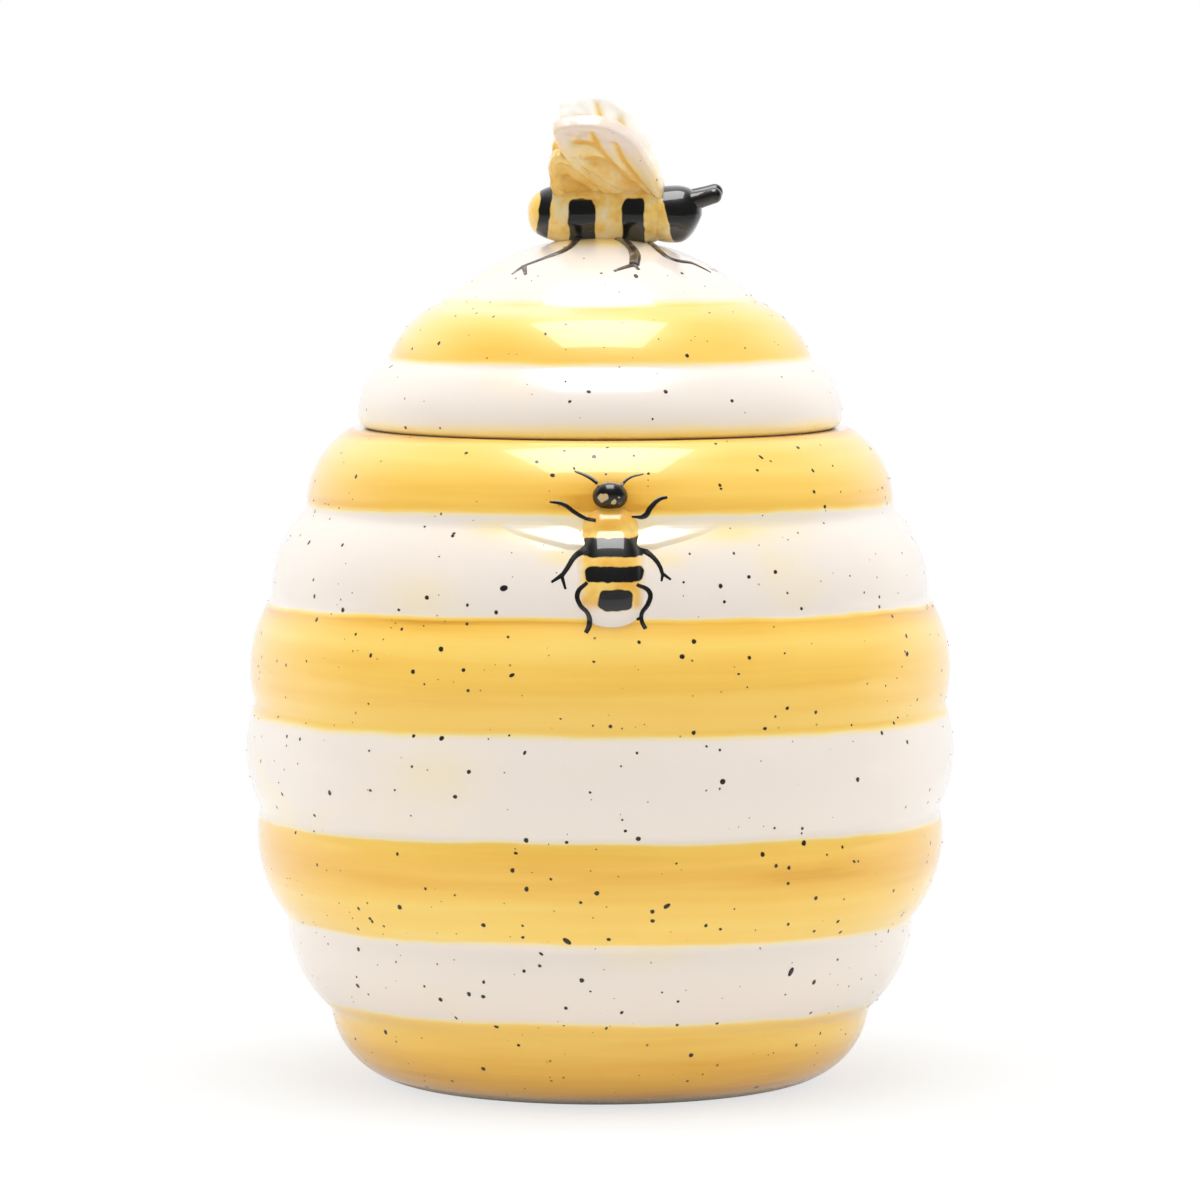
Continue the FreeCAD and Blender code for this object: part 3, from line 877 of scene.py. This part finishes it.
def makeWing(name, wing, side, skin, node):
    outline = [Vector(point) for point in wing["outline"]]
    veins = [[Vector(point) for point in vein] for vein in wing["veins"]]
    piece = bladeGrid(name, outline, wingShape["rimPoints"], wingShape["cuts"])
    edge = smoothLoop(outline, wingShape["edgePoints"])
    edge.append(edge[0])
    flat = flatPoints(piece)
    fromEdge = [toRoute(point, edge) for point in flat]
    fromVein = [min(toRoute(point, vein) for vein in veins) for point in flat]
    fromRoot = [(point.y + wingShape["rootSlant"] * point.x) / wing["washTop"] for point in flat]
    weigh(piece, "vein", [math.exp(-(gap / wingShape["veinWidth"]) ** 2) * min(1, inset)
                          for gap, inset in zip(fromVein, fromEdge)])
    weigh(piece, "rim", [math.exp(-((inset - wingShape["rimInset"]) / wingShape["rimWidth"]) ** 2)
                         for inset in fromEdge])
    weigh(piece, "root", [max(0, min(1, 1 - share)) for share in fromRoot])
    for vertex, inset in zip(piece.data.vertices, fromEdge):  # the blade is cupped, hollow side out
        vertex.co.y -= side * wing["cup"] * mm * min(1, inset / wingShape["cupReach"])
    thick = piece.modifiers.new("thick", "SOLIDIFY")
    thick.thickness = wing["thickness"] * mm
    thick.offset = 0
    soft = piece.modifiers.new("soft", "SUBSURF")
    soft.levels = soft.render_levels = 1
    for label, depth in (("vein", -wingShape["veinDepth"]), ("rim", wingShape["rimRise"])):
        press = piece.modifiers.new(label, "DISPLACE")
        press.vertex_group = label
        press.strength = depth * mm
        press.mid_level = 0
    applyModifiers(piece)
    lean = Matrix.Rotation(math.radians(-side * wingShape["lean"]), 4, "X")
    root = Matrix.Translation(Vector((0, side * wingShape["rootSide"], wingShape["rootHeight"])) * mm)
    piece.data.transform(beePlace @ root @ lean)
    lumpy(piece, *wing["lumps"])
    turnOut(piece)
    finishPiece(piece, skin, "lid", "wing_glaze", node)


for sideName, side in bothSides:
    foreSkin, bee = wingSkins[sideName + "Forewing"], "knob_bee_" + sideName
    makeWing(sideName + "Forewing", forewing, side, foreSkin, bee + "_forewing")
    makeWing(sideName + "Hindwing", hindwing, side, wingSkins["hindwing"], bee + "_hindwing")
print("knob bee: wings")


# brush strokes: a curve with a width at each point, made a mesh, flattened and laid on the wall
def brushLine(name, points, widths, thickness):
    startFresh()
    bpy.ops.curve.primitive_bezier_curve_add()
    line = namePiece(name)
    knots = line.data.splines[0].bezier_points
    knots.add(len(points) - 2)
    for knot, point, width in zip(knots, points, widths):
        knot.co = Vector((point[0], 0, point[1])) * mm
        knot.radius = width / 2
    for knot in knots:
        knot.handle_left_type = knot.handle_right_type = "AUTO"
    line.data.dimensions = "3D"
    line.data.bevel_depth = mm
    line.data.bevel_resolution = 3
    line.data.resolution_u = 8
    line.data.use_fill_caps = True
    bpy.ops.object.convert(target="MESH")
    for vertex in line.data.vertices:
        vertex.co.y *= thickness
    return line


def joinAll(pieces, name):
    pick(pieces[0])
    for piece in pieces:
        piece.select_set(True)
    bpy.ops.object.join()
    return namePiece(name)


def layOnFront(piece, profile):  # drawn flat, then carried back on to a spun wall
    for vertex in piece.data.vertices:
        point = vertex.co / mm
        radius = radiusOn(profile, point.z)
        vertex.co.y -= math.sqrt(radius ** 2 - point.x ** 2) * mm


def layOnLid(piece):  # drawn as a plan, so the drawing's depth becomes height
    for vertex in piece.data.vertices:
        point = vertex.co / mm
        vertex.co = Vector((point.x, point.z, point.y + lidHeight(math.hypot(point.x, point.z)))) * mm


legPaint = {
    "thickness": 0.5,
    "routes": [[(-5.4, 3.0), (-7.4, 8.6), (-10.3, 9.9), (-13.1, 10.2)],
               [(0.3, 3.0), (1.9, 7.7), (2.4, 10.7), (2.2, 13.8)],
               [(5.0, 2.6), (6.2, 7.2), (7.4, 8.9), (10.6, 7.0)]],
    "widths": [[1.3, 1.2, 0.75, 0.6], [1.5, 1.6, 1.7, 1.5], [1.2, 1.1, 0.9, 0.8]],
    "claws": [[(-14.8, 11.2), (-12.9, 13.0)], [(-0.7, 15.9), (2.8, 14.9)], [(13.2, 6.9)]],
    "clawWidths": [0.8, 0.45],
}
legSkin = mottled("legGlaze", 0.5, 1.5, 625,
                  [(0.3, srgb(34, 29, 26)), (0.52, srgb(84, 74, 66)), (0.72, srgb(150, 138, 126))])


def makeKnobLegs():
    strokes = []
    for side in (1, -1):
        for route, widths, claws in zip(legPaint["routes"], legPaint["widths"], legPaint["claws"]):
            def seat(point):
                return (point[0] + beePose["offset"], side * point[1])
            knees = [seat(point) for point in route]
            strokes.append(brushLine("legStroke", knees, widths, legPaint["thickness"]))
            for claw in claws:
                ends = [knees[-1], seat(claw)]
                strokes.append(brushLine("clawStroke", ends, legPaint["clawWidths"], legPaint["thickness"]))
    piece = joinAll(strokes, "knobBeeLegs")
    layOnLid(piece)
    finishPiece(piece, legSkin, "lid", "bee_black_glaze", "knob_bee_legs")


makeKnobLegs()
print("knob bee: legs")


# front bee: pressed relief on the wall, with its legs and antennae painted
reliefShape = {
    "coil": 5, "fullness": 0.6,
    "abdomen": {"radius": 6.0, "half": 8.5, "sink": 4.4, "share": 0.5},
    "thorax": {"radius": 4.2, "half": 3.4, "sink": 2.3, "share": 1.0},
    "head": {"radius": 2.45, "half": 1.9, "sink": 0.6, "rise": 3.6},
    "bury": 0.5, "voxel": 0.2, "squareness": 1.7, "flare": 0.35, "flareTop": 0.7,
    "steps": 48, "ease": 0.5, "eased": 10,
}
rayStart = -80.0  # well in front of the pot


def setOnCoil(piece, coil, share, sink):  # along the coil's slope, at a share of the way up it
    low, high = potOutline[coil], potOutline[coil + 1]
    slope = Vector((0, low.x - high.x, high.y - low.y))
    normal = Vector((0, -slope.z, slope.y)).normalized()
    proud = potShape["coilBulges"][coil] * 4 * share * (1 - share)
    chord = low.lerp(high, share)
    place = Vector((0, -chord.x, chord.y)) + normal * (proud - sink)
    turn = Vector((1, 0, 0)).rotation_difference(slope).to_matrix().to_4x4()
    piece.data.transform(Matrix.Translation(place * mm) @ turn)


def buryInPot(piece, depth):  # what lies deep in the wall is drawn up to just under its face
    for vertex in piece.data.vertices:
        point = vertex.co / mm
        out = math.hypot(point.x, point.y)
        floor = radiusOn(potOuter, point.z) - depth
        if out < floor:
            vertex.co.x *= floor / out
            vertex.co.y *= floor / out


def squareOff(piece):  # makes a relief flatter across, with fuller sides
    shifts = []
    for vertex in piece.data.vertices:
        point = vertex.co / mm
        wall = radiusOn(potOuter, point.z)
        gap = math.hypot(point.x, point.y) - wall
        hit, ridge = piece.ray_cast(Vector((0, rayStart * mm, vertex.co.z)), (0, 1, 0))[:2]
        height = -ridge.y / mm - wall if hit else 0
        if 0 < gap < height:
            full = 1 - (1 - gap / height) ** reliefShape["squareness"]
            shifts.append((vertex, (wall + height * full) / (wall + gap)))
    for vertex, share in shifts:
        vertex.co.xy = vertex.co.xy * share


def flareOnPot(piece):  # spreads the foot of a relief, so that it runs into the wall
    spread = []
    for vertex in piece.data.vertices:
        point = vertex.co / mm
        gap = math.hypot(point.x, point.y) - radiusOn(potOuter, point.z)
        radial = Vector((point.x, point.y, 0)).normalized()
        along = vertex.normal - radial * vertex.normal.dot(radial)
        share = 1 - max(gap, 0) / reliefShape["flareTop"]
        if share > 0 and along.length > 0.05:
            spread.append((vertex, along.normalized() * reliefShape["flare"] * share ** 2 * mm))
    for vertex, shift in spread:
        vertex.co += shift


frontPaint = {
    "yellow": srgb(252, 214, 116), "deep": srgb(240, 182, 72), "white": clayWhite,
    "black": srgb(14, 13, 12), "grey": srgb(44, 42, 42),
    "bands": [(0.3, 78.6, 4.3, 1.25), (0.45, 75.05, 3.9, 1.05)], "tail": (0.5, 71.6, 2.3, 1.4), "corner": 0.8,
    "whiteBelow": (71.6, 69.6), "whiteSides": (3.3, 4.9), "whiteTop": (79.6, 78.4), "neck": (80.8, 82.4),
    "blotch": 0.35,
    "chips": [(-1.0, 85.2, 0.62), (0.35, 84.6, 0.3), (1.25, 85.2, 0.16)],
    "chipEdge": 0.06, "bare": srgb(206, 178, 128),
}


def frontGlaze():
    material, tree, shader, place = glazed("frontBeeGlaze", 0.5, 1.7)
    local = inMm(tree, place)
    across, up = wavedAxes(tree, local, 0.7, 0.7)
    blotch = noise(tree, local, frontPaint["blotch"], 2)
    colour = ramp(tree, blotch, [(0.35, frontPaint["yellow"]), (0.7, frontPaint["deep"])])
    colour = mixColour(tree, step(tree, up, *frontPaint["neck"]), colour, frontPaint["deep"])
    sides = step(tree, calc(tree, "ABSOLUTE", across), *frontPaint["whiteSides"])
    sides = calc(tree, "MULTIPLY", sides, step(tree, up, *frontPaint["whiteTop"]))
    white = calc(tree, "MAXIMUM", step(tree, up, *frontPaint["whiteBelow"]), sides)
    colour = mixColour(tree, white, colour, frontPaint["white"])
    for band in frontPaint["bands"]:
        black = paintPatch(tree, across, up, band, frontPaint["corner"])
        colour = mixColour(tree, black, colour, frontPaint["black"])
    tail = paintPatch(tree, across, up, frontPaint["tail"], frontPaint["corner"])
    tree.links.new(mixColour(tree, tail, colour, frontPaint["grey"]), shader.inputs["Base Color"])
    return material


def reliefForm(name, form):
    points = spindle(form["half"], form["half"], form["radius"], reliefShape["fullness"])
    return spun(name, points, (1, 0, 0), reliefShape["steps"])


def makeFrontBody():
    forms = []
    for label in ("abdomen", "thorax"):
        form = reliefShape[label]
        piece = reliefForm(label, form)
        setOnCoil(piece, reliefShape["coil"], form["share"], form["sink"])
        forms.append(piece)
    piece = joinAll(forms, "frontBeeBody")
    blend = piece.modifiers.new("blend", "REMESH")  # one soft form, as it comes from the mould
    blend.mode = "VOXEL"
    blend.voxel_size = reliefShape["voxel"] * mm
    ease = piece.modifiers.new("ease", "SMOOTH")
    ease.factor, ease.iterations = reliefShape["ease"], reliefShape["eased"]
    applyModifiers(piece)
    squareOff(piece)
    flareOnPot(piece)
    buryInPot(piece, reliefShape["bury"])
    finishPiece(piece, frontGlaze(), "pot", "bee_yellow_glaze", "front_bee_body")


def frontHeadGlaze():
    material, tree, shader, place = glazed("frontHeadGlaze", 0.4, 1.6)
    across, up = wavedAxes(tree, inMm(tree, place), 1.1, 0.9)
    colour = frontPaint["black"]
    for x, z, size in frontPaint["chips"]:  # where the black has come away
        away = squareSum(tree, calc(tree, "SUBTRACT", up, z), calc(tree, "SUBTRACT", across, x))
        edge = frontPaint["chipEdge"]
        chip = step(tree, calc(tree, "SQRT", away), size + edge, size - edge)
        colour = mixColour(tree, chip, colour, frontPaint["bare"])
    tree.links.new(colour, shader.inputs["Base Color"])
    return material


def makeFrontHead():
    form = reliefShape["head"]
    piece = reliefForm("frontBeeHead", form)
    coil = reliefShape["coil"] + 1
    setOnCoil(piece, coil, form["rise"] / potShape["coilHeights"][coil], form["sink"])
    buryInPot(piece, reliefShape["bury"])
    finishPiece(piece, frontHeadGlaze(), "pot", "bee_black_glaze", "front_bee_head")


frontWing = {
    "upper": [(2.4, -1.0), (5.8, 0.5), (9.5, 1.1), (13.2, 1.0), (15.6, 0.1)],
    "lower": [(13.2, -1.2), (9.5, -2.2), (6.0, -3.0), (2.6, -3.0)],
    "height": 1.0, "tipHeight": 0.3, "ridge": 0.7, "slope": 1.1, "sink": 0.06, "tip": 14.0, "thickness": 1.0,
    "rimPoints": 48, "cuts": 4, "cream": srgb(243, 231, 210), "wash": srgb(250, 220, 134),
    "blotch": (6, 3), "blotchEdge": (0.36, 0.6), "edgeWashAndShade": 0.45, "faceWash": 0.15,
}


def frontWingGlaze():
    material, tree, shader, place = glazed("frontWingGlaze", 0.4)
    blotch = step(tree, stretched(tree, place, frontWing["blotch"], 2), *frontWing["blotchEdge"])
    # yellower along the lower edge: a yellow wash there, with painted shade where the raised wing turns down to
    # the wall
    most = calc(tree, "MULTIPLY_ADD", weightOf(tree, "edge"), frontWing["edgeWashAndShade"], frontWing["faceWash"])
    colour = mixColour(tree, calc(tree, "MULTIPLY", blotch, most), frontWing["cream"], frontWing["wash"])
    tree.links.new(colour, shader.inputs["Base Color"])
    return material


frontWingSkin = frontWingGlaze()


def makeFrontWing(name, side, node):
    groove = potOutline[reliefShape["coil"] + 1].y
    upper = [Vector((side * x, groove + rise)) for x, rise in frontWing["upper"]]
    lower = [Vector((side * x, groove + rise)) for x, rise in frontWing["lower"]]
    piece = bladeGrid(name, upper + lower, frontWing["rimPoints"], frontWing["cuts"])
    flat = flatPoints(piece)
    fromTop = [toRoute(point, upper) for point in flat]
    fromLow = [toRoute(point, [upper[-1]] + lower) for point in flat]
    weigh(piece, "edge", [max(0, 1 - inset / frontWing["slope"]) for inset in fromLow])
    layOnFront(piece, potOuter)
    for vertex, top, low in zip(piece.data.vertices, fromTop, fromLow):  # leans out to a soft lower edge
        lean = min(1, top / (top + low) / frontWing["ridge"])
        edge = min(1, low / frontWing["slope"])
        out = min(1, abs(vertex.co.x) / mm / frontWing["tip"])
        lift = frontWing["height"] + (frontWing["tipHeight"] - frontWing["height"]) * out
        vertex.co.y -= mm * (lift * lean * edge ** 2 * (3 - 2 * edge) - frontWing["sink"])
    thick = piece.modifiers.new("thick", "SOLIDIFY")
    thick.thickness = frontWing["thickness"] * mm
    thick.offset = side  # inwards, so that the drawn face is the outer one
    applyModifiers(piece)
    turnOut(piece)
    finishPiece(piece, frontWingSkin, "pot", "relief_wing_glaze", node)


frontStrokes = {
    "thickness": 0.3,
    "lines": [
        ([(-1.7, 87.0), (-3.0, 87.9), (-4.8, 88.6)], [0.5, 0.5, 0.25]),
        ([(1.4, 86.6), (2.7, 87.7), (4.6, 88.2)], [0.4, 0.35, 0.2]),
        ([(-2.0, 82.1), (-3.3, 82.3), (-4.8, 83.1), (-6.4, 84.2), (-8.2, 84.5)], [0.5, 0.55, 0.6, 0.6, 0.3]),
        ([(2.9, 82.5), (4.7, 82.6), (5.5, 83.7), (6.7, 84.8), (7.8, 85.1)], [0.25, 0.8, 0.75, 0.6, 0.4]),
        ([(-3.3, 78.3), (-4.8, 77.4), (-6.0, 75.7), (-6.8, 74.6)], [1.0, 0.75, 0.65, 0.6]),
        ([(-6.6, 74.9), (-8.1, 73.9)], [0.65, 0.35]),
        ([(-6.7, 74.8), (-6.2, 73.0)], [0.55, 0.35]),
        ([(4.2, 78.3), (5.7, 77.2), (6.6, 76.0), (7.0, 74.8)], [0.9, 0.65, 0.6, 0.5]),
        ([(7.0, 75.0), (6.8, 74.0)], [0.5, 0.3]),
        ([(7.0, 75.0), (8.1, 74.2)], [0.5, 0.3]),
        ([(-3.3, 74.0), (-4.6, 72.4), (-4.3, 71.0), (-3.2, 69.7), (-3.0, 68.3), (-3.5, 67.2)],
         [0.5, 0.7, 0.65, 0.65, 0.8, 0.6]),
        ([(3.4, 73.7), (5.2, 72.5), (5.0, 71.1), (4.1, 69.7), (4.1, 68.7), (4.6, 67.7)],
         [0.5, 0.7, 0.7, 0.6, 0.6, 0.6]),
        ([(4.2, 69.2), (3.4, 68.9)], [0.6, 0.35]),
    ],
}


def makeFrontStrokes():
    thickness = frontStrokes["thickness"]
    strokes = [brushLine("stroke", points, widths, thickness) for points, widths in frontStrokes["lines"]]
    piece = joinAll(strokes, "frontBeeStrokes")
    under = [bpy.data.objects[name] for name in ("frontBeeBody", "frontBeeHead", "potWall")]
    for vertex in piece.data.vertices:  # each point goes straight back on to whatever stands foremost
        start = Vector((vertex.co.x, rayStart * mm, vertex.co.z))
        hits = [form.ray_cast(start, (0, 1, 0)) for form in under]
        vertex.co.y += min(hit[1].y for hit in hits if hit[0])
    finishPiece(piece, blackSkin, "pot", "bee_black_glaze")


makeFrontBody()
makeFrontHead()
for sideName, side in bothSides:
    makeFrontWing("front" + sideName.capitalize() + "Wing", side, "front_bee_" + sideName + "_wing")
makeFrontStrokes()
print("front bee: relief and strokes")


# larger specks: drops of iron that stand a little proud, a few placed by x, height, length, width and tilt
speckShape = {"thickness": 0.16, "least": 0.18, "most": 0.75, "rarity": 6, "slimmest": 0.5, "tilt": 70}
potSpecks = {
    "placed": [(-14.5, 73, 1.2, 0.85, 10), (-20, 62, 0.6, 0.55, 0), (-13.5, 61.5, 0.85, 0.5, 30),
               (9.5, 64, 0.75, 0.7, 0), (15, 47, 0.85, 0.8, 20), (-6, 25, 1.4, 0.75, -40),
               (7.5, 30, 1.1, 0.6, 35), (25, 19.5, 1.4, 0.8, 65), (21, 90, 0.75, 0.4, -40),
               (24, 56.5, 0.6, 0.5, 20)],
    "strewn": 420, "low": 4.0, "high": 90.0, "seed": 7,
}
lidSpecks = {"placed": [(11, 114.5, 0.6, 0.3, 10)], "strewn": 110, "low": 94.0, "high": 115.0, "seed": 11}
speckSkin = mottled("speckGlaze", 0.2, 1.5, 900, [(0.3, srgb(18, 14, 11)), (0.7, srgb(58, 44, 32))])


def addSpeck(profile, turn, height, length, width, tilt):
    startFresh()
    bpy.ops.mesh.primitive_ico_sphere_add(subdivisions=2, radius=mm / 2)
    speck = namePiece("speck")
    flat = Matrix.Diagonal((length, speckShape["thickness"], width, 1))
    leant = Matrix.Rotation(math.radians(-tilt), 4, "Y") @ flat
    speck.data.transform(Matrix.Translation((0, 0, height * mm)) @ leant)
    layOnFront(speck, profile)
    speck.data.transform(Matrix.Rotation(turn, 4, "Z"))
    return speck


def makeSpecks(name, body, profile, specks):
    drops = []
    for x, height, length, width, tilt in specks["placed"]:
        drops.append(addSpeck(profile, math.asin(x / radiusOn(profile, height)), height, length, width, tilt))
    chance = random.Random(specks["seed"])
    for count in range(specks["strewn"]):  # all round, most of them small
        turn = chance.uniform(0, math.tau)
        share = chance.random() ** speckShape["rarity"]
        length = speckShape["least"] + (speckShape["most"] - speckShape["least"]) * share
        height = chance.uniform(specks["low"], specks["high"])
        width = length * chance.uniform(speckShape["slimmest"], 1)
        tilt = chance.uniform(-speckShape["tilt"], speckShape["tilt"])
        drops.append(addSpeck(profile, turn, height, length, width, tilt))
    finishPiece(joinAll(drops, name), speckSkin, body, "banded_glaze")


makeSpecks("potSpecks", "pot", potOuter, potSpecks)
makeSpecks("lidSpecks", "lid", lidOuter, lidSpecks)
print("specks: pot and lid")


# stage: pale floor, white surround, a soft box overhead and two weak side panels
stageLook = {
    "floorSize": 6.0, "floorColour": 0.9, "glowNear": 0.7, "glowFrom": 0.1, "glowTo": 0.4, "surround": 0.63,
    "frontShade": 0.08, "floorShine": 0.35, "floorTurn": 0.1, "roomTurn": 0.6,
    "boxSize": (0.56, 0.64), "boxPlace": (0.0, -0.125, 0.92), "boxPower": 5.0, "boxShine": 13.5,
    "sideSize": (0.5, 0.8), "sidePlace": (0.75, 0.15, 0.3), "sidePower": 1.5, "sideAim": (0, 0, 0.07),
}


def seenDirectly(tree):  # camera, glossy and transmission rays
    path = put(tree, "LightPath", {}, {}).outputs
    seen = calc(tree, "MAXIMUM", path["Is Camera Ray"], path["Is Glossy Ray"])
    return calc(tree, "MAXIMUM", seen, path["Is Transmission Ray"])


def makeStage():
    startFresh()
    bpy.ops.mesh.primitive_plane_add(size=stageLook["floorSize"])
    floor = namePiece("floor")
    material, tree, shader = newMaterial("floorPaper")
    tree.nodes.remove(shader)
    paper = put(tree, "BsdfDiffuse", {}, {"Color": grey(stageLook["floorColour"])})
    mirrored = put(tree, "LightPath", {}, {}).outputs["Is Glossy Ray"]
    place = objectPlace(tree)
    front = step(tree, axesOf(tree, place)["Y"], stageLook["floorTurn"], -stageLook["floorTurn"])
    dark = calc(tree, "MULTIPLY", mirrored, front)  # reflections towards the dark end of the room
    level = calc(tree, "MULTIPLY_ADD", dark, stageLook["floorShine"] - 1.0, 1.0)
    glow = put(tree, "Emission", {}, {"Color": grey(1.0), "Strength": level})
    away = put(tree, "VectorMath", {"operation": "LENGTH"}, {0: place}).outputs["Value"]
    fade = graded(tree, away, stageLook["glowFrom"], stageLook["glowTo"], stageLook["glowNear"], 1.0)
    share = calc(tree, "MULTIPLY", seenDirectly(tree), fade)
    both = put(tree, "MixShader", {}, {0: share, 1: paper.outputs[0], 2: glow.outputs[0]})
    tree.links.new(both.outputs[0], tree.nodes["Material Output"].inputs["Surface"])
    floor.data.materials.append(material)

    world = bpy.data.worlds.new("studio")
    bpy.context.scene.world = world
    world.use_nodes = True
    tree = world.node_tree
    background = tree.nodes["Background"]
    background.inputs["Color"].default_value = grey(1.0)
    view = axesOf(tree, put(tree, "TexCoord", {}, {}).outputs["Generated"])
    room = graded(tree, view["Y"], 0.0, stageLook["roomTurn"], stageLook["frontShade"], 1.0)
    path = put(tree, "LightPath", {}, {}).outputs
    mirrored = calc(tree, "MULTIPLY", path["Is Glossy Ray"], calc(tree, "SUBTRACT", 1.0, room))
    strength = graded(tree, seenDirectly(tree), 0.0, 1.0, stageLook["surround"], 1.0)
    strength = calc(tree, "SUBTRACT", strength, mirrored)  # the dark end of the room is in front
    tree.links.new(strength, background.inputs["Strength"])


def addSoftLight(name, place, size, power, aim):
    startFresh()
    bpy.ops.object.light_add(type="AREA", location=place)
    lamp = namePiece(name)
    lamp.data.shape = "RECTANGLE"
    lamp.data.size, lamp.data.size_y = size
    lamp.data.energy = power
    lamp.rotation_euler = (Vector(aim) - Vector(place)).to_track_quat("-Z", "Y").to_euler()
    return lamp


makeStage()
below = (0, stageLook["boxPlace"][1], 0)
for name, power in (("overheadBox", stageLook["boxPower"]), ("overheadShine", stageLook["boxShine"])):
    lamp = addSoftLight(name, stageLook["boxPlace"], stageLook["boxSize"], power, below)
    lamp.visible_diffuse = name == "overheadBox"  # the second only strengthens the box's reflection
for side in (-1, 1):
    x, y, z = stageLook["sidePlace"]
    place = (side * x, y, z)
    panel = addSoftLight("sidePanel", place, stageLook["sideSize"], stageLook["sidePower"], stageLook["sideAim"])
    panel.visible_glossy = False

cameraView = {"place": (-34.5, -1039.4, 151.0), "down": 4.57, "turn": -1.9, "lens": 221.3}
startFresh()
bpy.ops.object.camera_add(location=Vector(cameraView["place"]) * mm)
camera = bpy.context.object
camera.rotation_euler = (math.radians(90 - cameraView["down"]), 0, math.radians(cameraView["turn"]))
camera.data.lens = cameraView["lens"]
camera.data.sensor_width = 36
camera.data.clip_start, camera.data.clip_end = 0.01, 50
bpy.context.scene.camera = camera
bpy.context.scene.view_settings.view_transform = "Standard"
print("stage: floor, lights and camera")

startFresh()
